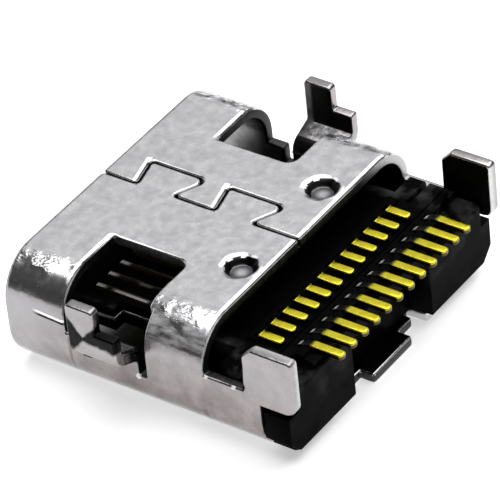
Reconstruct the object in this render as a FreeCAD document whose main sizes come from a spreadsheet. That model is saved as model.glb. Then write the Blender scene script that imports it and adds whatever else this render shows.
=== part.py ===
import FreeCAD, Part
import math
import os
import re

import Sketcher

# Board socket for a flat reversible plug, sunk into a cut-out of its board.
# It lies on the plain wall of its shell, with the board side up.
# X runs across, Y runs from the mouth to the rear, Z is up, all in millimetres.
# Every place below is measured from the mouth, and each finished piece is then
# moved back by half the depth, so that the origin is under the middle.

doc = FreeCAD.newDocument("board_socket")
sheet = doc.addObject("Spreadsheet::Sheet", "Sizes")

SIZES = [
    # Stamped shell
    ("shell_width", 9.00), ("shell_height", 3.16), ("corner_round", 1.18), ("sheet_metal", 0.30),
    ("board_wall_long", 5.90), ("plain_wall_long", 7.50), ("side_wall_rise", 0.42),
    ("mouth_chamfer", 0.07),
    # How deep the board wall sinks below the face of the board
    ("sunk_depth", 0.75),
    # Rear edge of the plain wall: a shallow step with one broad tab, and two small lugs
    ("rear_step_wide", 2.90), ("rear_step_long", 0.32), ("rear_tab_wide", 1.70), ("rear_tab_long", 0.72),
    ("lug_wide", 0.62), ("lug_place", 2.05), ("lug_long", 0.56),
    # Dovetail seam in the board wall
    ("seam_gap", 0.06), ("seam_near", 0.22), ("seam_step", 0.92),
    ("dovetail_start", 1.09), ("dovetail_long", 1.05), ("dovetail_pitch", 2.34),
    ("dovetail_lead", 0.22), ("dovetail_trail", 0.46), ("dovetail_round", 0.20),
    # Two pressed dimples
    ("dimple_place", 1.75), ("dimple_inset", 0.66), ("dimple_across", 0.78), ("dimple_deep", 0.14),
    # Openings that the front legs were cut and bent out of
    ("opening_edge", 2.20), ("opening_start", 1.80), ("opening_long", 2.25),
    ("opening_round", 0.30), ("root_rise", 0.14), ("relief_drop", 0.33), ("relief_wide", 0.24),
    # Front legs, stepped outwards past the edge of the board cut-out
    ("front_leg_reach", 5.25), ("leg_inset", 0.74), ("front_leg_long", 1.40),
    ("step_foot_rise", 0.08), ("step_rise", 0.30), ("leg_corner", 0.12),
    ("shoulder_rise", 0.35), ("front_pin_rise", 1.03), ("front_pin_long", 0.82),
    # Rear legs, flat
    ("rear_leg_lap", 0.40), ("rear_leg_long", 1.44), ("rear_leg_lift", 0.12), ("rear_pin_rise", 0.91),
    ("rear_leg_chamfer", 0.28), ("rear_leg_round", 0.30),
    # Tongue
    ("tongue_wide", 6.69), ("tongue_thick", 0.70), ("tongue_tip", 0.90), ("tip_chamfer", 0.15),
    ("cavity_deep", 6.20), ("base_long", 1.40), ("base_thick", 1.30), ("base_wide", 6.90),
    # Middle plate and its latch notches
    ("plate_thick", 0.10), ("plate_cover", 0.45), ("plate_short", 0.12),
    ("latch_inset", 1.55), ("latch_long", 1.30), ("latch_deep", 0.35),
    ("bond_hole_wide", 1.20), ("bond_hole_long", 0.80), ("bond_hole_pitch", 1.90),
    ("bond_hole_inset", 2.80),
    # Ground plates on the tongue base
    ("ground_thick", 0.10), ("ground_wide", 6.30), ("ground_inset", 0.05), ("ground_long", 0.55),
    ("ground_round", 0.20), ("ground_slot", 0.30), ("ground_slot_long", 0.40),
    ("ground_slot_pitch", 2.10),
    # Contacts
    ("contact_wide", 0.24), ("contact_thick", 0.15), ("contact_pitch", 0.50),
    ("tip_cover", 0.65), ("row_offset", 0.13), ("jog_inset", 0.40), ("jog_long", 0.70),
    ("bend_round", 0.10), ("front_rise_inset", 0.10), ("front_foot_long", 0.87),
    ("rear_rise_inset", 0.14), ("rear_foot_long", 1.36),
    # Contact carriers
    ("fit_gap", 0.03), ("front_carrier_long", 1.02),
    ("flange_side_gap", 0.05), ("flange_low_gap", 0.04), ("flange_drop", 0.33),
    ("flange_long", 0.78), ("flange_chamfer", 0.12), ("recess_wide", 3.40), ("recess_left", 0.15),
    ("ear_gap", 0.08), ("ear_drop", 0.20), ("ear_chamfer", 0.36),
    ("bed_sink", 0.25), ("bar_drop", 0.05), ("bar_margin", 0.10), ("bar_inset", 0.04),
    ("front_bar_cover", 0.24), ("rear_bar_back", 0.26), ("rear_bar_long", 0.25),
    ("parting_inset", 0.46), ("parting_wide", 0.12), ("parting_deep", 0.25), ("parting_inner", 3.20),
]
for row, (alias, number) in enumerate(SIZES, start=1):
    sheet.set(f"A{row}", alias)
    sheet.set(f"B{row}", str(number))
    sheet.setAlias(f"B{row}", alias)
doc.recompute()
CONTACTS = 12
DOVETAILS = 2

# Places that several pieces share, each worked out from sizes and other places
PLACES = {
    "middle": "shell_height / 2",
    "side": "shell_width / 2",
    "inner_side": "side - sheet_metal",
    "board_face": "shell_height - sunk_depth",
    "foot_low": "board_face - contact_thick",
    "side_wall_top": "middle + side_wall_rise",
    "seam_far": "seam_near - seam_step",
    "opening_end": "opening_start + opening_long",
    "leg_root": "middle + root_rise",
    "relief_low": "middle - relief_drop",
    "front_leg_in": "front_leg_reach - sheet_metal",
    "front_leg_start": "opening_start + leg_inset",
    "front_leg_end": "front_leg_start + front_leg_long",
    "front_pin_end": "front_leg_start + front_pin_long",
    "step_foot": "middle + step_foot_rise",
    "step_head": "step_foot + step_rise",
    "upright_low": "step_head + sheet_metal + leg_corner",
    "shoulder": "board_face + shoulder_rise",
    "front_leg_tip": "board_face + front_pin_rise",
    "rear_leg_low": "middle + rear_leg_lift",
    "rear_leg_tip": "board_face + rear_pin_rise",
    "rear_leg_start": "plain_wall_long - rear_leg_lap",
    "rear_leg_end": "rear_leg_start + rear_leg_long",
    "tongue_side": "tongue_wide / 2",
    "notch_side": "tongue_side - latch_deep",
    "tongue_top": "middle + tongue_thick / 2",
    "tongue_low": "middle - tongue_thick / 2",
    "base_start": "cavity_deep - base_long",
    "base_side": "base_wide / 2",
    "base_top": "middle + base_thick / 2",
    "base_low": "middle - base_thick / 2",
    "plate_top": "middle + plate_thick / 2",
    "plate_low": "middle - plate_thick / 2",
    "plate_start": "tongue_tip + plate_cover",
    "plate_end": "front_carrier_end - plate_short",
    "latch_start": "tongue_tip + latch_inset",
    "latch_end": "latch_start + latch_long",
    "bond_hole_start": "tongue_tip + bond_hole_inset",
    "ground_start": "base_start + ground_inset",
    "ground_end": "ground_start + ground_long",
    "contact_tip": "tongue_tip + tip_cover",
    "jog_start": "base_start + jog_inset",
    "jog_end": "jog_start + jog_long",
    "front_foot_rise": "cavity_deep + front_rise_inset",
    "front_foot_end": "front_foot_rise + front_foot_long",
    "rear_foot_rise": "front_carrier_end + rear_rise_inset",
    "rear_foot_end": "rear_foot_rise + rear_foot_long",
    "front_carrier_end": "cavity_deep + front_carrier_long",
    "rear_core_start": "front_carrier_end + fit_gap",
    "flange_side": "inner_side - flange_side_gap",
    "flange_low": "sheet_metal + flange_low_gap",
    "flange_top": "board_face - flange_drop",
    "flange_start": "plain_wall_long + fit_gap",
    "flange_end": "plain_wall_long + flange_long",
    "recess_floor": "plain_wall_long + recess_left",
    "ear_side": "side - ear_gap",
    "ear_top": "rear_leg_low - ear_drop",
    "bar_top": "board_face - bar_drop",
    "bar_side": f"{(CONTACTS - 1) / 2} * contact_pitch + row_offset + contact_wide / 2 + bar_margin",
    "front_bar_start": "cavity_deep + bar_inset",
    "front_bar_end": "front_foot_rise + front_bar_cover",
    "rear_bar_start": "rear_foot_rise + rear_bar_back",
    "rear_bar_end": "rear_bar_start + rear_bar_long",
    "parting_start": "cavity_deep + parting_inset",
    "parting_end": "parting_start + parting_wide",
}
PLACE_WORDS = re.compile(r"\b(" + "|".join(PLACES) + r")\b")
SIZE_WORDS = re.compile(r"\b(" + "|".join(alias for alias, number in SIZES) + r")\b")


def in_sizes(formula):
    """The formula with each shared place written out in sizes."""
    while PLACE_WORDS.search(formula):
        formula = PLACE_WORDS.sub(lambda found: f"({PLACES[found[0]]})", formula)
    return formula


def value(formula):
    """Number that a formula gives now."""
    return float(sheet.evalExpression(in_sizes(formula)))


def bind(thing, place, formula):
    """Tie one property of an object to the sheet."""
    thing.setExpression(place, SIZE_WORDS.sub(r"Sizes.\1", in_sizes(formula)))


# A plane's turn, and which way an extrusion of it runs
PLANES = {
    "XY": (FreeCAD.Rotation(), 1),
    "YZ": (FreeCAD.Rotation(FreeCAD.Vector(1, 1, 1), 120), 1),
    "XZ": (FreeCAD.Rotation(FreeCAD.Vector(1, 0, 0), 90), -1),
}


def hold(sketch, kind, *ends):
    """Add one driving dimension, tied to its formula."""
    *spots, formula = ends
    index = sketch.addConstraint(Sketcher.Constraint(kind, *spots, value(formula)))
    bind(sketch, f"Constraints[{index}]", formula)


def outline(name, plane, corners):
    """Closed outline of straight sides. A corner is two formulas, and a radius if it is round."""
    sketch = doc.addObject("Sketcher::SketchObject", name)
    sketch.Placement = FreeCAD.Placement(FreeCAD.Vector(), PLANES[plane][0])
    spots = [FreeCAD.Vector(value(c[0]), value(c[1]), 0) for c in corners]
    starts, ends, arcs = [], [], {}
    for k, corner in enumerate(corners):
        starts.append(spots[k])
        ends.append(spots[k])
        if len(corner) < 3:
            continue
        before = (spots[k - 1] - spots[k]).normalize()
        after = (spots[(k + 1) % len(spots)] - spots[k]).normalize()
        half = before.getAngle(after) / 2
        back = value(corner[2]) / math.tan(half)
        ends[k] = spots[k] + before * back
        starts[k] = spots[k] + after * back
        centre = spots[k] + (before + after).normalize() * (value(corner[2]) / math.sin(half))
        angles = [math.atan2(p.y - centre.y, p.x - centre.x) for p in (ends[k], starts[k])]
        leftwards = (ends[k] - centre).cross(starts[k] - centre).z > 0
        if not leftwards:
            angles.reverse()
        circle = Part.Circle(centre, FreeCAD.Vector(0, 0, 1), value(corner[2]))
        arcs[k] = (Part.ArcOfCircle(circle, *angles), (1, 2) if leftwards else (2, 1))
    count = len(corners)
    for k in range(count):
        sketch.addGeometry(Part.LineSegment(starts[k], ends[(k + 1) % count]))
    for k, corner in enumerate(corners):
        line_in = (k - 1) % count
        if k not in arcs:
            sketch.addConstraint(Sketcher.Constraint("Coincident", line_in, 2, k, 1))
            hold(sketch, "DistanceX", -1, 1, k, 1, corner[0])
            hold(sketch, "DistanceY", -1, 1, k, 1, corner[1])
            continue
        round_part, (first, last) = arcs[k]
        arc = sketch.addGeometry(round_part)
        sketch.addConstraint(Sketcher.Constraint("Tangent", line_in, 2, arc, first))
        sketch.addConstraint(Sketcher.Constraint("Tangent", arc, last, k, 1))
        hold(sketch, "Radius", arc, corner[2])
        point = sketch.addGeometry(Part.Point(spots[k]), True)
        sketch.addConstraint(Sketcher.Constraint("PointOnObject", point, 1, line_in))
        sketch.addConstraint(Sketcher.Constraint("PointOnObject", point, 1, k))
        hold(sketch, "DistanceX", -1, 1, point, 1, corner[0])
        hold(sketch, "DistanceY", -1, 1, point, 1, corner[1])
    return sketch


def shell_section(name, inset):
    """Flat oval of the shell, with its outside drawn in by the inset."""
    reach, low, high, rounding = (
        f"(side - {inset})", inset, f"shell_height - {inset}", f"corner_round - {inset}")
    return outline(name, "XZ", [
        (f"0 - {reach}", low, rounding), (reach, low, rounding),
        (reach, high, rounding), (f"0 - {reach}", high, rounding)])


def extrude(name, sketch, plane, low, high):
    """Solid between two places along the plane's own axis."""
    solid = doc.addObject("Part::Extrusion", name)
    solid.Base = sketch
    solid.DirMode = "Normal"
    solid.Solid = True
    forward, backward = (high, f"0 - ({low})")
    if PLANES[plane][1] < 0:
        forward, backward = backward, forward
    bind(solid, "LengthFwd", forward)
    bind(solid, "LengthRev", backward)
    return solid


def prism(name, plane, corners, low, high):
    """Extruded outline."""
    return extrude(name, outline(f"{name}_outline", plane, corners), plane, low, high)


def block(name, x, y, z):
    """Plain box between pairs of formulas."""
    box = doc.addObject("Part::Box", name)
    for length, axis, (low, high) in zip(("Length", "Width", "Height"), "xyz", (x, y, z)):
        bind(box, length, f"({high}) - ({low})")
        bind(box, f"Placement.Base.{axis}", low)
    return box


def gather(name, things):
    """Several solids as one tool."""
    group = doc.addObject("Part::Compound", name)
    group.Links = things
    return group


def join(name, things):
    """One solid of several that meet, with the seams between flat faces taken out."""
    fused = doc.addObject("Part::MultiFuse", name)
    fused.Shapes = things
    fused.Refine = True
    return fused


def cut(name, base, tools):
    """What is left of the base."""
    tool = tools[0]
    if len(tools) > 1:
        tool = gather(f"{name}_tools", tools)
    left = doc.addObject("Part::Cut", name)
    left.Base = base
    left.Tool = tool
    left.Refine = True
    return left


def overlap(name, one, other):
    """What two solids share."""
    shared = doc.addObject("Part::Common", name)
    shared.Base = one
    shared.Tool = other
    return shared


def mirrored(name, thing):
    """The same form on the far side."""
    other = doc.addObject("Part::Mirroring", name)
    other.Source = thing
    other.Normal = FreeCAD.Vector(1, 0, 0)
    return other


nodes = {}


def finish(node, solid):
    """Name a finished piece, and set it back by half the depth."""
    piece = gather(f"{node}_in_place", [solid])
    piece.Label = node
    bind(piece, "Placement.Base.y", "0 - rear_foot_end / 2")
    nodes[node] = piece


# Contacts: the outer face of each lies in a face of the tongue, and its foot in the
# plane of the board. The front row belongs to the tongue's board side.
def contact_row(letter, strip_low, strip_top, rise, foot_end, shift):
    """Twelve stepped strips, each the meeting of its side view and its plan."""
    rise_back = f"{rise} + contact_thick"
    bend_out = "bend_round + contact_thick"
    side_view = outline(f"contact_{letter}_side", "YZ", [
        ("contact_tip", strip_low), (rise_back, strip_low, bend_out),
        (rise_back, "foot_low", "bend_round / 2"), (foot_end, "foot_low"),
        (foot_end, "board_face"), (rise, "board_face", bend_out),
        (rise, strip_top, "bend_round / 2"), ("contact_tip", strip_top)])
    strips = []
    for k in range(CONTACTS):
        name = f"contact_{letter}{k + 1:02d}"
        place = f"{k - (CONTACTS - 1) / 2} * contact_pitch"
        near, far = f"{place} - contact_wide / 2", f"{place} + contact_wide / 2"
        plan = prism(f"{name}_plan", "XY", [
            (near, "contact_tip"), (far, "contact_tip"), (far, "jog_start"),
            (f"{far} + {shift}", "jog_end"), (f"{far} + {shift}", foot_end),
            (f"{near} + {shift}", foot_end), (f"{near} + {shift}", "jog_end"), (near, "jog_start")],
            "0", "shell_height")
        strip = extrude(f"{name}_strip", side_view, "YZ",
                        f"{near} - row_offset", f"{far} + row_offset")
        strips.append(overlap(name, strip, plan))
    return strips


front_row = contact_row("b", "tongue_top - contact_thick", "tongue_top",
                        "front_foot_rise", "front_foot_end", "row_offset")
rear_row = contact_row("a", "tongue_low", "tongue_low + contact_thick",
                       "rear_foot_rise", "rear_foot_end", "(0 - row_offset)")
all_contacts = gather("all_contacts", front_row + rear_row)


def both_ways(corners):
    """A plan's near half, then its far half in turn, so that it is the same on both sides."""
    far = [(f"0 - ({c[0]})",) + tuple(c[1:]) for c in reversed(corners)]
    return corners + far


def row_of_three(name, wide, pitch, y, z):
    """Three blocks side by side about the middle."""
    return [block(f"{name}_{k + 2}", (f"{k} * {pitch} - {wide} / 2", f"{k} * {pitch} + {wide} / 2"), y, z)
            for k in (-1, 0, 1)]


# Middle plate: stiffens the tongue, and the plug's side latches catch in its notches.
# Moulded plastic bonds through its three holes.
mid_blank = prism("mid_blank", "XY", both_ways([
    ("tongue_side", "plate_start"), ("tongue_side", "latch_start"), ("notch_side", "latch_start"),
    ("notch_side", "latch_end"), ("tongue_side", "latch_end"), ("tongue_side", "plate_end")]),
    "plate_low", "plate_top")
mid_plate = cut("mid_plate", mid_blank, row_of_three(
    "bond_hole", "bond_hole_wide", "bond_hole_pitch",
    ("bond_hole_start", "bond_hole_start + bond_hole_long"), ("plate_low", "plate_top")))

# Tongue: the plug slides over it. Its thicker base carries the ground plates.
tongue_length = prism("tongue_length", "YZ", [
    ("tongue_tip", "tongue_low + tip_chamfer"), ("tongue_tip + tip_chamfer", "tongue_low"),
    ("base_start", "tongue_low"), ("base_start", "base_low"), ("cavity_deep", "base_low"),
    ("cavity_deep", "base_top"), ("base_start", "base_top"), ("base_start", "tongue_top"),
    ("tongue_tip + tip_chamfer", "tongue_top"), ("tongue_tip", "tongue_top - tip_chamfer")],
    "0 - base_side", "base_side")
tongue_plan = prism("tongue_plan", "XY", both_ways([
    ("tongue_side", "tongue_tip", "tip_chamfer"), ("tongue_side", "latch_start"),
    ("notch_side", "latch_start"), ("notch_side", "latch_end"), ("tongue_side", "latch_end"),
    ("tongue_side", "base_start"), ("base_side", "base_start"), ("base_side", "cavity_deep")]),
    "0", "shell_height")
tongue = cut("tongue_moulding", overlap("tongue_form", tongue_length, tongue_plan),
             [all_contacts, mid_plate])

# Ground plates: thin slotted sheets on both faces of the tongue base
ground_plates = {}
for node, low, high in (("board_side_ground_plate", "base_top", "base_top + ground_thick"),
                        ("plain_side_ground_plate", "base_low - ground_thick", "base_low")):
    ground_blank = prism(f"{node}_blank", "XY", both_ways([
        ("ground_wide / 2", "ground_start", "ground_round"), ("ground_wide / 2", "ground_end")]),
        low, high)
    ground_plates[node] = cut(node, ground_blank, row_of_three(
        f"{node}_slot", "ground_slot", "ground_slot_pitch",
        ("ground_end - ground_slot_long", "ground_end"), (low, high)))

# Contact carriers: two moulded blocks, one on each side of the middle plate, that
# close the cavity. Their section is the inside of the shell less the fitting gap.
carrier_section = shell_section("carrier_section", "(sheet_metal + fit_gap)")


def carrier_part(name, start, end, low, high):
    """A length of the carrier section between two heights."""
    return overlap(name, extrude(f"{name}_length", carrier_section, "XZ", start, end),
                   block(f"{name}_limits", ("0 - side", "side"), (start, end), (low, high)))


across_rows = ("0 - bar_side", "bar_side")
front_moulding = join("front_moulding", [
    carrier_part("front_core", "cavity_deep", "front_carrier_end", "plate_top", "foot_low"),
    block("front_bar", across_rows, ("front_bar_start", "front_bar_end"), ("foot_low", "bar_top"))])
parting_lines = [
    block(f"parting_{word}", reach, ("parting_start", "parting_end"),
          ("foot_low - parting_deep", "board_face"))
    for word, reach in (("near", ("parting_inner", "side")), ("far", ("0 - side", "0 - parting_inner")))]
front_carrier = cut("front_carrier", front_moulding, [all_contacts] + parting_lines)

flange = prism("flange", "XY", both_ways([
    ("flange_side", "flange_start"), ("flange_side", "flange_end - flange_chamfer"),
    ("flange_side - flange_chamfer", "flange_end"), ("recess_wide / 2", "flange_end"),
    ("recess_wide / 2", "recess_floor")]), "flange_low", "flange_top")
ear = prism("ear", "XZ", [
    ("flange_side - flange_chamfer", "flange_low"), ("ear_side - ear_chamfer", "flange_low"),
    ("ear_side", "flange_low + ear_chamfer"), ("ear_side", "ear_top"),
    ("flange_side - flange_chamfer", "ear_top")], "flange_start", "flange_end")
rear_moulding = join("rear_moulding", [
    carrier_part("rear_floor", "cavity_deep", "plain_wall_long", "0", "plate_low"),
    carrier_part("rear_core", "rear_core_start", "plain_wall_long", "0", "foot_low"),
    flange, ear, mirrored("far_ear", ear),
    block("foot_bed", across_rows, ("rear_core_start", "flange_end - flange_chamfer"),
          ("flange_top - bed_sink", "foot_low")),
    block("rear_bar", across_rows, ("rear_bar_start", "rear_bar_end"), ("foot_low", "bar_top")),
    block("neck", across_rows, ("plain_wall_long - fit_gap", "flange_start + fit_gap"),
          ("flange_low", "foot_low"))])
rear_carrier = cut("rear_carrier", rear_moulding, [all_contacts])

# Shell: one stamped sheet rolled into a flat oval, its two edges locked by dovetails.
# Past makes each cut run clear through the sheet.
past = "sheet_metal"
tube_outside = extrude("tube_outside", shell_section("outer_section", "0"),
                       "XZ", "0", "plain_wall_long")
tube_inside = extrude("tube_inside", shell_section("inner_section", "sheet_metal"),
                      "XZ", f"0 - {past}", f"plain_wall_long + {past}")
sharp_tube = cut("sharp_tube", tube_outside, [tube_inside])
doc.recompute()
tube = doc.addObject("Part::Chamfer", "tube")
tube.Base = sharp_tube
tube.Edges = [(k, value("mouth_chamfer"), value("mouth_chamfer"))
              for k, edge in enumerate(sharp_tube.Shape.Edges, start=1)
              if edge.BoundBox.YMax < value("mouth_chamfer") and len(edge.Vertexes) == 2]

seam_left, seam_right = [], []
half_gap = "seam_gap / 2"
for k in range(DOVETAILS):
    start = f"dovetail_start + {k} * dovetail_pitch"
    stop = f"{start} + dovetail_long"
    for x, y, left, right, rounding in (
            ("seam_near", start, "-", "+", ()),
            ("seam_far", f"{start} - dovetail_lead", "-", "+", ()),
            ("seam_far", f"{stop} + dovetail_trail", "+", "-", ("dovetail_round",)),
            ("seam_near", stop, "+", "-", ())):
        seam_left.append((f"{x} - {half_gap}", f"{y} {left} {half_gap}") + rounding)
        seam_right.append((f"{x} + {half_gap}", f"{y} {right} {half_gap}") + rounding)
seam = prism("seam", "XY",
             [(f"seam_near - {half_gap}", f"0 - {past}")] + seam_left
             + [(f"seam_near - {half_gap}", f"board_wall_long + {past}"),
                (f"seam_near + {half_gap}", f"board_wall_long + {past}")]
             + seam_right[::-1] + [(f"seam_near + {half_gap}", f"0 - {past}")],
             "middle", f"shell_height + {past}")

dimples = []
dimple_ball = "(dimple_across ^ 2 / 4 + dimple_deep ^ 2) / (2 * dimple_deep)"
for word, sign in (("near", ""), ("far", "0 - ")):
    ball = doc.addObject("Part::Sphere", f"dimple_{word}")
    bind(ball, "Radius", dimple_ball)
    bind(ball, "Placement.Base.x", f"{sign}dimple_place")
    bind(ball, "Placement.Base.y", "board_wall_long - dimple_inset")
    bind(ball, "Placement.Base.z", f"shell_height - dimple_deep + {dimple_ball}")
    dimples.append(ball)
rear_clearance = [
    block("board_wall_clearance", ("0 - side", "side"),
          ("board_wall_long", f"plain_wall_long + {past}"), ("side_wall_top", f"shell_height + {past}")),
    block("rear_leg_clearance", ("0 - side", "side"),
          ("rear_leg_start", f"plain_wall_long + {past}"), ("rear_leg_low", "shell_height"))]


side_cuts = [
    prism("leg_opening", "XY", [
        ("opening_edge", "opening_start"), ("side", "opening_start"),
        ("side", "opening_end"), ("opening_edge", "opening_end", "opening_round")],
        "leg_root", f"shell_height + {past}"),
    block("front_relief", (f"inner_side - {past}", "side"),
          ("front_leg_start - relief_wide", "front_leg_start"), ("relief_low", "shell_height")),
    block("rear_relief", (f"inner_side - {past}", "side"),
          ("front_leg_end", "front_leg_end + relief_wide"), ("relief_low", "shell_height"))]
legs = [
    prism("front_leg_step", "XZ", [
        ("inner_side", "middle"), ("side", "middle"), ("side", "step_foot", "leg_corner"),
        ("front_leg_reach", "step_head", "leg_corner + sheet_metal"),
        ("front_leg_reach", "upright_low"), ("front_leg_in", "upright_low"),
        ("front_leg_in", "step_head + sheet_metal", "leg_corner / 2"),
        ("inner_side", "step_foot + sheet_metal", "leg_corner + sheet_metal")],
        "front_leg_start", "front_leg_end"),
    prism("front_leg_upright", "YZ", [
        ("front_leg_start", "upright_low"), ("front_leg_end", "upright_low"),
        ("front_leg_end", "shoulder"), ("front_pin_end", "shoulder"),
        ("front_pin_end", "front_leg_tip", "leg_corner"),
        ("front_leg_start", "front_leg_tip", "leg_corner")], "front_leg_in", "front_leg_reach"),
    prism("rear_leg", "YZ", [
        ("rear_leg_start", "rear_leg_low"), ("rear_leg_end", "rear_leg_low", "rear_leg_round"),
        ("rear_leg_end", "rear_leg_tip", "leg_corner"),
        ("rear_leg_start + rear_leg_chamfer", "rear_leg_tip"),
        ("rear_leg_start", "rear_leg_tip - rear_leg_chamfer")], "inner_side", "side")]
tabs = [
    block(name, (f"{place} - {wide} / 2", f"{place} + {wide} / 2"),
          (f"plain_wall_long - {past}", f"plain_wall_long + {reach}"), ("0", "sheet_metal"))
    for name, place, wide, reach in (
        ("rear_step", "0", "rear_step_wide", "rear_step_long"),
        ("rear_tab", "0", "rear_tab_wide", "rear_tab_long"),
        ("lug_near", "lug_place", "lug_wide", "lug_long"),
        ("lug_far", "0 - lug_place", "lug_wide", "lug_long"))]
stamped = cut("stamped", tube, rear_clearance + [seam] + dimples + side_cuts
              + [mirrored(f"far_{thing.Name}", thing) for thing in side_cuts])
shell = join("shell", [stamped] + legs + [mirrored(f"far_{leg.Name}", leg) for leg in legs] + tabs)

finish("shell", shell)
finish("tongue", tongue)
finish("mid_plate", mid_plate)
finish("front_row_carrier", front_carrier)
finish("rear_row_carrier", rear_carrier)
for node, plate in ground_plates.items():
    finish(node, plate)
for strip in front_row + rear_row:
    finish(strip.Name, strip)
doc.recompute()

for thing in doc.Objects:
    if "Invalid" in thing.State or "Error" in thing.State:
        raise RuntimeError(f"{thing.Name} could not be built")
for node, thing in nodes.items():
    if thing.Shape.isNull() or not thing.Shape.isValid() or not thing.Shape.Solids:
        raise RuntimeError(f"{node} has no sound shape")
os.makedirs("parts", exist_ok=True)
for node, thing in nodes.items():
    thing.Shape.exportStep(f"parts/{node}.step")
    print(f"{node}: {len(thing.Shape.Solids)} solid, {thing.Shape.Volume:.3f} cubic millimetres")
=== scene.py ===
import math

import bmesh
import bpy
from mathutils import Matrix, Vector


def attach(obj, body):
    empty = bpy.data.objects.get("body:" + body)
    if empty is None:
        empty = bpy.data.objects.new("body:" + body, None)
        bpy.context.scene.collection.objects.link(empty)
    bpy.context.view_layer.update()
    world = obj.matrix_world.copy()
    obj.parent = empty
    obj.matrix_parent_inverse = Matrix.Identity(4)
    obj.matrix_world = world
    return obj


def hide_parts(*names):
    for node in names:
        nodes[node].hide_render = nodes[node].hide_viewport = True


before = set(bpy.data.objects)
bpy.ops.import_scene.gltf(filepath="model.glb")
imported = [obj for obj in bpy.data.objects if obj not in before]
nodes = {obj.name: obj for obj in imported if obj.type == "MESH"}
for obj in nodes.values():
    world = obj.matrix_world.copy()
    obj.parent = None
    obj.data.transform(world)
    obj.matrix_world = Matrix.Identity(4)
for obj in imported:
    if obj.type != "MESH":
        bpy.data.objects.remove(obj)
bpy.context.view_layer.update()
MM = 0.001


# Shell: one sheet of steel 0.3 mm thick, stamped, rolled into a flat oval and locked by
# the dovetails on its board side. It is plated with tin, which is grey and softly mottled,
# with rounded edges and painted highlights on some spots. Its cut faces are bare torn steel
# painted near black as painted shade, and its inside faces take a near-black copy of the
# tin as painted shade.
class Wire:
    """A socket in a material's node tree, so that its maths reads as an expression."""

    def __init__(self, tree, socket=None):
        self.tree = tree
        self.socket = socket

    def node(self, kind, settings, sockets, output=0):
        """Any node: its settings first, then the values or wires of its sockets."""
        made = self.tree.nodes.new(kind)
        for setting, choice in settings.items():
            setattr(made, setting, choice)
        for socket, source in sockets.items():
            if isinstance(source, Wire):
                self.tree.links.new(source.socket, made.inputs[socket])
            else:
                made.inputs[socket].default_value = source
        return Wire(self.tree, made.outputs[output])

    def maths(self, operation, *numbers):
        return self.node("ShaderNodeMath", {"operation": operation}, dict(enumerate(numbers)))

    def __add__(self, other):
        return self.maths("ADD", self, other)

    def __sub__(self, other):
        return self.maths("SUBTRACT", self, other)

    def __rsub__(self, other):
        return self.maths("SUBTRACT", other, self)

    def __mul__(self, other):
        return self.maths("MULTIPLY", self, other)

    def __abs__(self):
        return self.maths("ABSOLUTE", self)

    __radd__ = __add__
    __rmul__ = __mul__

    def rise(self, low_front_light, high):
        """0 up to low, 1 from high, and an even slope between."""
        return self.node("ShaderNodeMapRange", {"clamp": True},
                         {"Value": self, "From Min": low_front_light, "From Max": high})

    def fall(self, low_front_light, high):
        """1 up to low, 0 from high, and an even slope between."""
        return 1 - self.rise(low_front_light, high)

    def band(self, low_front_light, full, fading, high):
        """1 from full to fading, 0 up to low and from high."""
        return self.rise(low_front_light, full) * self.fall(fading, high)

    def blend(self, first, second):
        """First colour where this is 0, second where it is 1."""
        return self.node("ShaderNodeMix", {"data_type": "RGBA"}, {0: self, 6: first, 7: second}, 2)

    def noise(self, per_mm, detail=2.0, roughness=0.5, stretch=(1, 1, 1), turn=0.0):
        """Cloudy pattern of so many lumps to the millimetre, which may be drawn out and turned."""
        turned = self.node("ShaderNodeMapping", {}, {
            "Vector": self, "Rotation": (0, 0, turn),
            "Scale": tuple(per_mm * share / MM for share in stretch)})
        return self.node("ShaderNodeTexNoise", {}, {
            "Vector": turned, "Scale": 1.0, "Detail": detail, "Roughness": roughness})

    def axes(self):
        """The three coordinates of each point, in millimetres."""
        return [self.node("ShaderNodeSeparateXYZ", {}, {"Vector": self}, axis) * (1 / MM)
                for axis in range(3)]

    def distance(self, *spot):
        """How far each point is from a spot, in millimetres."""
        return self.node("ShaderNodeVectorMath", {"operation": "DISTANCE"},
                         {0: self, 1: tuple(c * MM for c in spot)}, 1) * (1 / MM)

    def relief(self, depth_mm):
        """Bump of this pattern, so deep in millimetres."""
        return self.node("ShaderNodeBump", {}, {"Height": self, "Distance": depth_mm * MM})


def new_material(name):
    """A material with its shader and the place of each point on the piece."""
    material = bpy.data.materials.new(name)
    material.use_nodes = True
    tree = material.node_tree
    place = Wire(tree).node("ShaderNodeTexCoord", {}, {}, 3)
    return material, tree.nodes["Principled BSDF"], place


def feed(shader, **sockets):
    """Give the shader its colours, numbers and patterns."""
    for socket, source in sockets.items():
        socket = socket.replace("_", " ")
        if isinstance(source, Wire):
            source.tree.links.new(source.socket, shader.inputs[socket])
        else:
            shader.inputs[socket].default_value = source


def grey(level):
    return (level, level, level, 1)


def rough_form(name):
    """The node's own form as one merged mesh, in millimetres."""
    form = bmesh.new()
    form.from_mesh(nodes[name].data)
    bmesh.ops.scale(form, vec=(1 / MM,) * 3, verts=form.verts)
    bmesh.ops.remove_doubles(form, verts=form.verts, dist=0.002)
    bmesh.ops.dissolve_limit(form, angle_limit=math.radians(1), verts=form.verts, edges=form.edges)
    return form


def round_edges(form, edges, offset, segments):
    """Round the edges over, as tumbling and plating leave them."""
    bmesh.ops.bevel(form, geom=edges, offset=offset, offset_type="OFFSET", segments=segments,
                    profile=0.5, affect="EDGES", clamp_overlap=False, material=-1)


def sharp_edges(form, over=32):
    """The edges that turn by more than so many degrees."""
    return [edge for edge in form.edges
            if edge.is_manifold and edge.calc_face_angle() > math.radians(over)]


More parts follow.
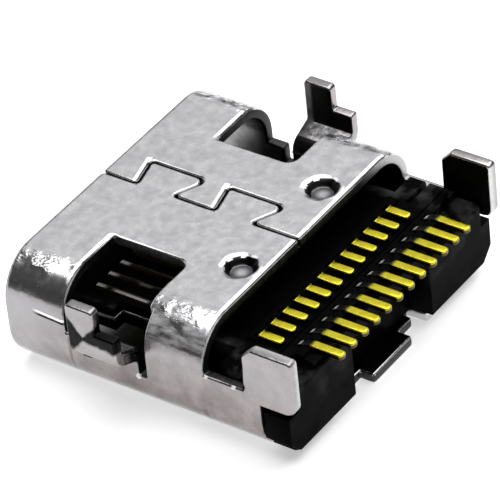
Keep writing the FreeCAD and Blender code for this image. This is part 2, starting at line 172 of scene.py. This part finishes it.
def fitted(form, name, slot, *materials):
    """Make the finished form a piece that stands for the node, with the materials given. The slot is
    not used.
    """
    bmesh.ops.scale(form, vec=(MM,) * 3, verts=form.verts)
    for face in form.faces:
        face.smooth = True
    mesh = bpy.data.meshes.new(name)
    form.to_mesh(mesh)
    form.free()
    for material in materials:
        mesh.materials.append(material)
    piece = bpy.data.objects.new(f"{name}_piece", mesh)
    bpy.context.collection.objects.link(piece)
    even = piece.modifiers.new("even_faces", "WEIGHTED_NORMAL")
    even.weight = 90
    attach(piece, "root")
    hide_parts(name)


MOUTH, REAR_EDGE, PLAIN_WALL_END = -4.36, 1.54, 3.14
BOARD_FACE_TOP, UNDER_BOARD_FACE = 3.16, 2.9
ROUND_CENTRE, ROUND_LOW, ROUND_HIGH = 3.32, 1.18, 1.98
SIDE_WALL_OUTSIDE, TAB_SIDE = 4.52, 1.6
SEAM_SIDES = (-0.73, 0.25)
DOVETAIL_TURNS, DOVETAIL_CORNER = (103, 117), 0.11
RIM_ROUND = 0.065
DIMPLES = ((-1.75, 0.88), (1.75, 0.88))
DIMPLE_CUT, DIMPLE_DEEP, DIMPLE_REACH = 0.39, 0.195, 0.6
DIMPLE_RINGS = (  # radius, depth and how wavy, from the lip inwards
    (0.570, 0, 0), (0.530, 0.003, 0.02), (0.485, 0.014, 0.04), (0.435, 0.034, 0.05),
    (0.39, 0.062, 0.04), (0.355, 0.100, 0.03), (0.320, 0.150, 0.03), (0.285, 0.190, 0.03),
    (0.255, 0.198, 0.02), (0.18, 0.198, 0), (0.12, 0.196, 0), (0.06, 0.195, 0))
LIP_LOBES, BURR_TURN, BURR_HIGH, BURR_RINGS = 7, 1.9, 0.035, (2, 3)

steel = rough_form("shell")
for turn in DOVETAIL_TURNS:
    corners = []
    for edge in sharp_edges(steel):
        one, other = (corner.co for corner in edge.verts)
        in_seam = (SEAM_SIDES[0] - 0.01 < one.x < SEAM_SIDES[1] + 0.01
                   and one.y < REAR_EDGE - 0.1)
        upright = abs(one.z - other.z) > 0.25 and min(one.z, other.z) > 2.8
        if in_seam and upright and abs(math.degrees(edge.calc_face_angle()) - turn) < 4:
            corners.append(edge)
    round_edges(steel, corners, DOVETAIL_CORNER * math.tan(math.radians(turn / 2)), 4)


def open_ring(x, y):
    """The edges round the hole that stands open at a dimple."""
    return [edge for edge in steel.edges if edge.is_boundary and all(
        math.hypot(v.co.x - x, v.co.y - y) < DIMPLE_CUT + 0.01 for v in edge.verts)]


def press_dimple(x, y):
    """Take the solid's plain pit out and draw the sheet down in its place, ring by ring."""
    cap = [face for face in steel.faces if all(
        math.hypot(v.co.x - x, v.co.y - y) < DIMPLE_CUT + 0.005 and v.co.z > UNDER_BOARD_FACE
        for v in face.verts)]
    bmesh.ops.delete(steel, geom=cap, context="FACES")
    bmesh.ops.subdivide_edges(steel, edges=open_ring(x, y), cuts=1)
    ring = open_ring(x, y)
    turns = {v: math.atan2(v.co.y - y, v.co.x - x) for edge in ring for v in edge.verts}
    for step, (reach, depth, lobes) in enumerate(DIMPLE_RINGS):
        if step:
            grown = bmesh.ops.extrude_edge_only(steel, edges=ring)["geom"]
            nearest = {v: min(turns, key=lambda old: (old.co - v.co).length)
                       for v in grown if isinstance(v, bmesh.types.BMVert)}
            turns = {v: turns[old] for v, old in nearest.items()}
            ring = [edge for edge in grown if isinstance(edge, bmesh.types.BMEdge)
                    and all(v in turns for v in edge.verts)]
        for v, turn in turns.items():
            lobe = math.sin(LIP_LOBES * turn + x) * (0.6 + 0.4 * math.sin(3 * turn))
            wavy = reach * (1 + lobes * lobe)
            burr = max(math.cos(turn - BURR_TURN), 0) * BURR_HIGH if step in BURR_RINGS else 0
            v.co = (x + wavy * math.cos(turn), y + wavy * math.sin(turn),
                    BOARD_FACE_TOP - depth + burr)
    bmesh.ops.pointmerge(steel, verts=list(turns), merge_co=(x, y, BOARD_FACE_TOP - DIMPLE_DEEP))


def in_dimple(point):
    return point.z > UNDER_BOARD_FACE and any(
        math.hypot(point.x - x, point.y - y) < DIMPLE_REACH for x, y in DIMPLES)


for x, y in DIMPLES:
    press_dimple(x, y)
bmesh.ops.recalc_face_normals(steel, faces=steel.faces)
rims = [edge for edge in sharp_edges(steel) if not any(in_dimple(end.co) for end in edge.verts)]
round_edges(steel, rims, RIM_ROUND, 4)

# Inside faces and dimple walls take the near-black painted-shade material; cut faces take the sheared
# one.
OUTSIDE, CUT_EDGE, INSIDE = range(3)
for face in steel.faces:
    face.normal_update()
    middle = face.calc_center_median()
    across = math.copysign(max(abs(middle.x) - ROUND_CENTRE, 0), middle.x)
    outward = Vector((across, 0, middle.z - min(max(middle.z, ROUND_LOW), ROUND_HIGH)))
    facing = face.normal.dot(outward.normalized())
    on_tube = (abs(middle.x) < SIDE_WALL_OUTSIDE and middle.z < BOARD_FACE_TOP + 0.01
               and middle.y > MOUTH + 0.15)
    on_lug = middle.y > PLAIN_WALL_END and (
        abs(middle.x) > TAB_SIDE or 0.2 < face.normal.z < 0.97)
    pit_wall = in_dimple(middle) and face.normal.z < 0.85
    if on_lug:
        face.material_index = OUTSIDE
    elif facing < -0.3 or pit_wall:
        face.material_index = INSIDE
    elif facing < 0.2 and on_tube:
        face.material_index = CUT_EDGE

SEAM_LEAN = 0.239
LEG_WAIST = -1.35
WHITE_SPOTS = (  # x, y, z and radius of painted highlights: on the near wall, then on the lips of the dimples
    (4.5, -0.42, 1.22, 0.07), (4.5, 1.62, 2.02, 0.07), (4.5, 2.42, 2.00, 0.07),
    (-2.15, 0.97, 3.15, 0.11), (1.35, 0.97, 3.15, 0.11),
    (-1.60, 0.45, 3.16, 0.10), (1.90, 0.45, 3.16, 0.10))

tin, tin_shader, place = new_material("tin_plated_steel")
x, y, z = place.axes()
from_middle = abs(x)
cloud = place.noise(0.9, detail=5, roughness=0.65)
grain = place.noise(5.5, detail=2, roughness=0.6)
waves = place.noise(0.55)
soft = place.noise(4.2, detail=3).rise(0.30, 0.70)

# The punch drew the sheet down before its cross cuts: at the seam, the rear and the windows.
along_cut = y - x * SEAM_LEAN
seam_bank = (along_cut.band(-3.50, -3.345, -3.32, -3.31) + along_cut.band(-1.16, -1.005, -0.98, -0.97)
             ) * x.band(-0.84, -0.60, 0.12, 0.30) * z.rise(3.0, 3.1)
window_bank = from_middle.rise(2.14, 2.34) * y.band(-2.70, -2.58, -2.5, -2.4)
bank = seam_bank * 0.5 + y.rise(1.40, REAR_EDGE) * 0.4 + window_bank * 0.4

# The rolled corners are creased and scuffed. The walls below them are painted darker and warmer towards
# the bottom and the rear, as painted shade.
creases = (place.noise(6, stretch=(1, 0.7, 1)) * from_middle.band(3.35, 3.55, 3.95, 4.15)
           * z.rise(2.5, 2.8) * place.noise(1.1, detail=1).rise(0.40, 0.52))
scuffs = (place.noise(5, detail=4, stretch=(1, 0.4, 1), turn=0.5).rise(0.38, 0.58)
          * x.band(3.60, 3.85, 4.40, 4.48) * y.rise(-0.5, -0.1) * z.rise(1.7, 2.0))
side = from_middle.rise(4.2, 4.4)
# Painted shade: the side walls darken towards the bottom and the rear.
side_shade = (1 - z.rise(0.8, 2.4) * 0.6) * (y.rise(-4.0, -1.5) * 0.6 + 0.4)
plain = soft.blend((0.575, 0.57, 0.59, 1), (0.705, 0.70, 0.71, 1))
flank = side_shade.blend((0.40, 0.395, 0.41, 1),
                      cloud.rise(0.4, 0.6).blend((0.19, 0.16, 0.16, 1), (0.32, 0.28, 0.275, 1)))
smoky = side * z.rise(1.7, 2.0) * 3 + from_middle.rise(3.2, 3.6)
# Painted shade: the jogs where the legs leave the side walls, low down, are painted dark grey in a
# grain.
bend_shade = from_middle.band(4.53, 4.56, 4.93, 4.96) * z.fall(2.5, 2.6) * grain.rise(0.3, 0.6)

# Along both side walls before the front legs, a painted highlight line over a painted shadow line
# stands for a slit edge in the sheet.
lip = y.band(-3.50, -3.30, -2.60, -2.50) * side * from_middle.fall(4.53, 4.56)
lip_height = z + y * 0.06 + cloud * 0.06
lip_light = lip * lip_height.band(1.90, 1.92, 1.96, 1.98)
lip_shade = lip * lip_height.band(1.82, 1.84, 1.89, 1.90)

# The near front leg's outer face is painted near black as a painted dark reflection, except in two
# wedges that meet at its waist.
ragged = place.noise(5) * 0.2
behind = y.rise(LEG_WAIST, LEG_WAIST + 1.0)
before = y.fall(LEG_WAIST - 1.0, LEG_WAIST)
above_waist = z + ragged - (behind + before) * 1.1
below_waist = z + ragged + behind * 0.1 + before * 1.1
painted_leg_reflection = (x.rise(4.93, 4.96) * y.fall(0, 0.1)
         * below_waist.rise(2.52, 2.62) * above_waist.fall(2.66, 2.76))

# Painted highlights: white spots, made matt so they stay bright from any side.
painted_highlights = sum(place.distance(*spot).fall(radius * 0.7, radius * 1.25) for *spot, radius in WHITE_SPOTS)
# Painted shade: the dimples are painted dark grey down their walls, less so at the middle of their
# floors.
pit_shade = z.band(2.88, 2.92, 3.00, 3.06) * from_middle.fall(2.25, 2.35)
for spot in DIMPLES:
    off_middle = place.distance(*spot, BOARD_FACE_TOP - DIMPLE_DEEP)
    pit_shade = pit_shade * (off_middle.rise(0.06, 0.22) * 0.8 + 0.2)
skin = bend_shade.blend(side.blend(plain, flank), (0.10, 0.10, 0.105, 1))
skin = pit_shade.blend(skin, (0.10, 0.10, 0.105, 1))
skin = (lip_light + painted_highlights).blend(skin, grey(0.95))
feed(tin_shader,
     Metallic=1 - painted_highlights * 0.9 - scuffs * 0.65,
     Base_Color=(painted_leg_reflection + lip_shade).blend(skin, grey(0.006)),
     Roughness=soft * 0.08 + 0.21,
     Normal=(waves + grain * 0.035 + cloud * smoky * 0.20 + creases * 1.6
             - bank * 4.0).relief(0.030))

# Cut faces: bare torn steel painted near black as painted shade, and light grey on the far arch as a
# painted highlight.
sheared, sheared_shader, place = new_material("sheared_steel")
x, y, _ = place.axes()
torn = place.noise(8, detail=3, stretch=(1, 1, 0.3))
arch_highlight = x.fall(-3.2, -2.4) * y.rise(0, 0.4)
feed(sheared_shader,
     Metallic=1.0,
     Base_Color=arch_highlight.blend(torn.blend(grey(0.02), grey(0.08)), grey(0.5)),
     Roughness=torn * 0.2 + 0.35,
     Normal=torn.relief(0.01))

# Inside faces and dimple walls: a near-black copy of the tin as painted shade, painted lighter low at
# the front, near the mouth and on the front legs' inner faces as painted light.
shaded_inside, shaded_inside_shader, place = new_material("shaded_inner_steel")
x, y, z = place.axes()
stain = place.noise(1.5, detail=4)
low_front_light = z.fall(0.5, 1.1) * y.fall(-3.4, -2.6)
mouthwards = y + x.fall(-1.0, 0) * 0.5
mouth_light = (abs(x).rise(3.9, 4.1) * mouthwards.fall(-3.0, -2.2)
              + abs(x).rise(4.90, 4.93) * y.fall(-1.66, -1.56))
dark = low_front_light.blend(stain.blend(grey(0.008), (0.04, 0.039, 0.038, 1)),
                 stain.blend(grey(0.22), grey(0.40)))
feed(shaded_inside_shader,
     Metallic=1.0,
     Base_Color=mouth_light.blend(dark, stain.rise(0.3, 0.6).blend(grey(0.12), grey(0.4))),
     Roughness=stain * 0.2 + 0.25,
     Normal=stain.relief(0.02))
fitted(steel, "shell", "shell_steel", tin, sheared, shaded_inside)

# Middle plate and the two ground plates: stainless sheet 0.1 mm thick, blanked and left
# bare, with rolling marks along its length. The tongue is moulded round the middle plate,
# and the ground plates are pressed onto the tongue's base.
PLATE_ROUND = 0.012

bare, bare_shader, place = new_material("bare_stainless")
rolled = place.noise(3, detail=4, stretch=(5, 0.3, 1))
feed(bare_shader,
     Metallic=1.0,
     Base_Color=rolled.blend((0.45, 0.44, 0.42, 1), (0.66, 0.65, 0.63, 1)),
     Roughness=rolled * 0.2 + 0.22,
     Normal=rolled.relief(0.004))
for plate in ("mid_plate", "board_side_ground_plate", "plain_side_ground_plate"):
    sheet = rough_form(plate)
    round_edges(sheet, sharp_edges(sheet), PLATE_ROUND, 2)
    fitted(sheet, plate, "plate_steel", bare)

# Tongue and the two contact carriers: black glass-filled nylon, moulded with the contacts
# in the tool. It is matt with a fine grain, with grey patches of painted sheen on its shoulders and
# rear face.
MOULDING_ROUND = 0.020
TONGUE_TIP, TIP_FORWARD = -3.3, 0.12

nylon, nylon_shader, place = new_material("black_moulding")
x, y, z = place.axes()
flow = place.noise(1.6, detail=4).rise(0.45, 0.70)
pits = place.noise(22)
rear_face = y.rise(3.6, 3.9) * z.rise(1.0, 1.4) * x.fall(3.0, 3.5)
shoulders = abs(x).rise(3.1, 3.4) * z.rise(1.8, 2.0)
# Painted sheen: grey patches on the shoulders and the rear face.
sheen_patches = flow * (rear_face * 0.5 + shoulders)
feed(nylon_shader,
     Base_Color=sheen_patches.blend(grey(0.0012), (0.040, 0.040, 0.042, 1)),
     Roughness=flow * 0.2 + pits * 0.12 + 0.30,
     Specular_IOR_Level=0.012,
     Normal=(pits * 0.5 + flow * 0.5).relief(0.004))
for moulding in ("tongue", "front_row_carrier", "rear_row_carrier"):
    body = rough_form(moulding)
    if moulding == "tongue":  # its tip comes forward and shades the gap before the windows
        for corner in body.verts:
            if corner.co.y < TONGUE_TIP:
                corner.co.y -= TIP_FORWARD
    round_edges(body, sharp_edges(body), MOULDING_ROUND, 2)
    fitted(body, moulding, "black_plastic", nylon)

# Contacts: strips of copper alloy 0.15 mm thick, stamped, bent and gold plated at both
# ends over nickel, which shows between; there it is painted near black as painted shade,
# with a small painted glint at each knee of the rear row. Each row rises a little to its
# solder feet, so that all 24 feet lie on the board; their ends are rounded over in the press.
FOOT_TOP, PITCH, FIRST_FOOT, FIRST_STRIP = 2.41, 0.50, -2.88, 0.25
ROW_FEET = {  # where the foot leaves its carrier, lies flat and ends, and how far it rises
    "a": (3.12, 3.52, 4.36, 0.08), "b": (2.06, 2.22, 2.81, 0.04)}
FOOT_END_ROUND, STRIP_ROUND = 0.09, 0.030
STRIP_TIP, STRIP_FORWARD = -2.7, 0.18


def off_line(x, first):
    """How far off the line of the nearest contact, as a share of the pitch."""
    return abs(x.maths("FRACT", (x - first) * (1 / PITCH) + 0.5) - 0.5)


def contact_metal(row):
    """Gold on the foot and in the mouth; where the contact leaves its carrier, painted shade with a
    painted glint at the knee.
    """
    start, flat = ROW_FEET[row][:2]
    material, shader, place = new_material(f"gold_plate_{row}")
    x, y, z = place.axes()
    patch = place.noise(5, detail=4)
    streak = place.noise(9, detail=3, stretch=(3, 0.3, 1))
    in_mouth = y.fall(0.8, 1.0)
    plated = (y + patch * 0.08).rise(flat - 0.05, flat + 0.07)
    # Painted glint: a small pale ellipse on each rear-row contact where it leaves its carrier.
    knee_glint = y.fall(start + 0.02, start + 0.07) * off_line(x, FIRST_FOOT).fall(0.12, 0.19)
    sheared_side = z.fall(FOOT_TOP - 0.055, FOOT_TOP - 0.025) * (1 - in_mouth)
    yellow = patch.rise(0.35, 0.65).blend((0.66, 0.57, 0.032, 1), (0.76, 0.67, 0.045, 1))
    root_shade_and_glint = knee_glint.blend(grey(0.003), (0.75, 0.75, 0.78, 1) if row == "a" else grey(0.003))

    # In the mouth the board-side strips are painted dark as painted shade, darkest towards the near
    # side, with short painted glints in the near window; the plain-side row stays gold.
    outer = x.rise(2.52, 2.58)
    glint = (x.rise(1.52, 1.58) * y.fall(-2.66, -2.50)
             + outer * y.band(-2.40, -2.25, -1.35, -1.20)
             + (1 - outer) * x.rise(2.02, 2.08) * y.band(-1.95, -1.85, -1.60, -1.50) * 0.5
             ) * off_line(x, FIRST_STRIP).fall(0.06, 0.13)
    shaded = x.rise(0.6, 1.1).blend((0.11, 0.09, 0.016, 1), (0.040, 0.032, 0.008, 1))
    plain_side = z.fall(1.45, 1.65)
    mouth_shade_and_glints = plain_side.blend(glint.blend(shaded, (0.95, 0.93, 0.90, 1)), (0.55, 0.44, 0.06, 1))

    skin = (plated + in_mouth).blend(root_shade_and_glint, in_mouth.blend(yellow, mouth_shade_and_glints))
    feed(shader,
         Metallic=1.0,
         Base_Color=(sheared_side * plated).blend(skin, (0.07, 0.055, 0.02, 1)),
         Roughness=(patch * 0.10 + streak * 0.08 + 0.10) * (1 - in_mouth * 0.7) + 0.02
         + knee_glint * (1 - plated) * (1 - in_mouth) * 0.35 + glint * in_mouth * 0.30,
         Normal=(patch * 0.6 + streak * 0.4).relief(0.005))
    return material


for row, (start, flat, end, drop) in ROW_FEET.items():
    metal = contact_metal(row)
    for number in range(1, 13):
        name = f"contact_{row}{number:02d}"
        strip = rough_form(name)
        for step in range(5):
            cut_at = start + 0.13 + (flat - start - 0.13) * step / 4
            bmesh.ops.bisect_plane(strip, geom=strip.verts[:] + strip.edges[:] + strip.faces[:],
                                   plane_co=(0, cut_at, 0), plane_no=(0, 1, 0))
        ends = [edge for edge in strip.edges
                if all(v.co.y > end - 0.001 for v in edge.verts)
                and abs(edge.verts[0].co.z - edge.verts[1].co.z) > 0.1]
        round_edges(strip, ends, FOOT_END_ROUND, 4)
        for corner in strip.verts:
            if corner.co.y < STRIP_TIP:
                corner.co.y -= STRIP_FORWARD
            if corner.co.z > 2.15:
                share = min(max((corner.co.y - start - 0.05) / (flat - start - 0.05), 0), 1)
                corner.co.z -= drop * (1 - share * share * (3 - 2 * share))
        round_edges(strip, sharp_edges(strip), STRIP_ROUND, 3)
        fitted(strip, name, "contact_gold", metal)

# Bright studio: a pale light table that glows a little, and soft panels that the metal
# mirrors. The dark gap between the panels is what draws the grey band along the near round.
FLOOR_HALF, FLOOR_GLOW, ROOM_LIGHT = 0.5, 0.45, 0.06

floor_mesh = bmesh.new()
bmesh.ops.create_grid(floor_mesh, x_segments=1, y_segments=1, size=FLOOR_HALF)
floor_data = bpy.data.meshes.new("floor")
floor_mesh.to_mesh(floor_data)
floor_mesh.free()
floor = bpy.data.objects.new("floor", floor_data)
bpy.context.collection.objects.link(floor)
paint, paint_shader, place = new_material("light_table")
feed(paint_shader,
     Base_Color=place.noise(0.4, detail=3).blend(grey(0.92), grey(0.94)),
     Roughness=0.6,
     Emission_Color=grey(1),
     Emission_Strength=FLOOR_GLOW)
floor.data.materials.append(paint)

world = bpy.data.worlds.new("studio")
bpy.context.scene.world = world
world.use_nodes = True
feed(world.node_tree.nodes["Background"], Color=grey(1), Strength=ROOM_LIGHT)


def soft_panel(name, azimuth, elevation, distance, width, height, power):
    """Flat panel lamp that faces the socket. Azimuth 0 stands before the mouth, 90 on the near side."""
    lamp = bpy.data.lights.new(name, "AREA")
    lamp.shape = "RECTANGLE"
    lamp.size = width
    lamp.size_y = height
    lamp.energy = power
    panel = bpy.data.objects.new(name, lamp)
    around, above = math.radians(azimuth), math.radians(elevation)
    panel.location = distance * Vector((math.sin(around) * math.cos(above),
                                        -math.cos(around) * math.cos(above), math.sin(above)))
    panel.rotation_euler = (-panel.location).to_track_quat("-Z", "Y").to_euler()
    bpy.context.collection.objects.link(panel)


soft_panel("back_panel", 308, 36, 0.40, 0.42, 0.24, 0.22)
soft_panel("top_panel", 250, 80, 0.45, 0.56, 0.66, 3.08)
soft_panel("mouth_panel", 0, 13, 0.42, 0.26, 0.12, 0.10)
soft_panel("foot_panel", 180, 18, 0.42, 0.34, 0.16, 0.10)
soft_panel("far_panel", 270, 16, 0.42, 0.30, 0.14, 0.08)
bpy.context.scene.view_settings.view_transform = "Standard"

# Camera: a long lens above the near rear corner, rolled a little as in the photograph.
AIM, AWAY = Vector((0, 0.14, 2.0)) * MM, 110.72 * MM
AZIMUTH, ELEVATION, ROLL = (math.radians(angle) for angle in (128.23, 37.59, -6.30))
FOCAL_LENGTH, SENSOR, SHIFT = 326.8, 36, (-0.0215, 0.0106)

lens = bpy.data.cameras.new("camera")
lens.lens = FOCAL_LENGTH
lens.sensor_width = SENSOR
lens.shift_x, lens.shift_y = SHIFT
lens.clip_start, lens.clip_end = 0.01, 5
camera = bpy.data.objects.new("camera", lens)
right = Vector((math.cos(AZIMUTH), math.sin(AZIMUTH), 0))
back = Vector((math.sin(AZIMUTH) * math.cos(ELEVATION), -math.cos(AZIMUTH) * math.cos(ELEVATION),
               math.sin(ELEVATION)))
up = back.cross(right)
turned_right = right * math.cos(ROLL) + up * math.sin(ROLL)
turned_up = up * math.cos(ROLL) - right * math.sin(ROLL)
camera.matrix_world = Matrix.Translation(AIM + back * AWAY) @ Matrix(
    (turned_right, turned_up, back)).transposed().to_4x4()
bpy.context.collection.objects.link(camera)
bpy.context.scene.camera = camera
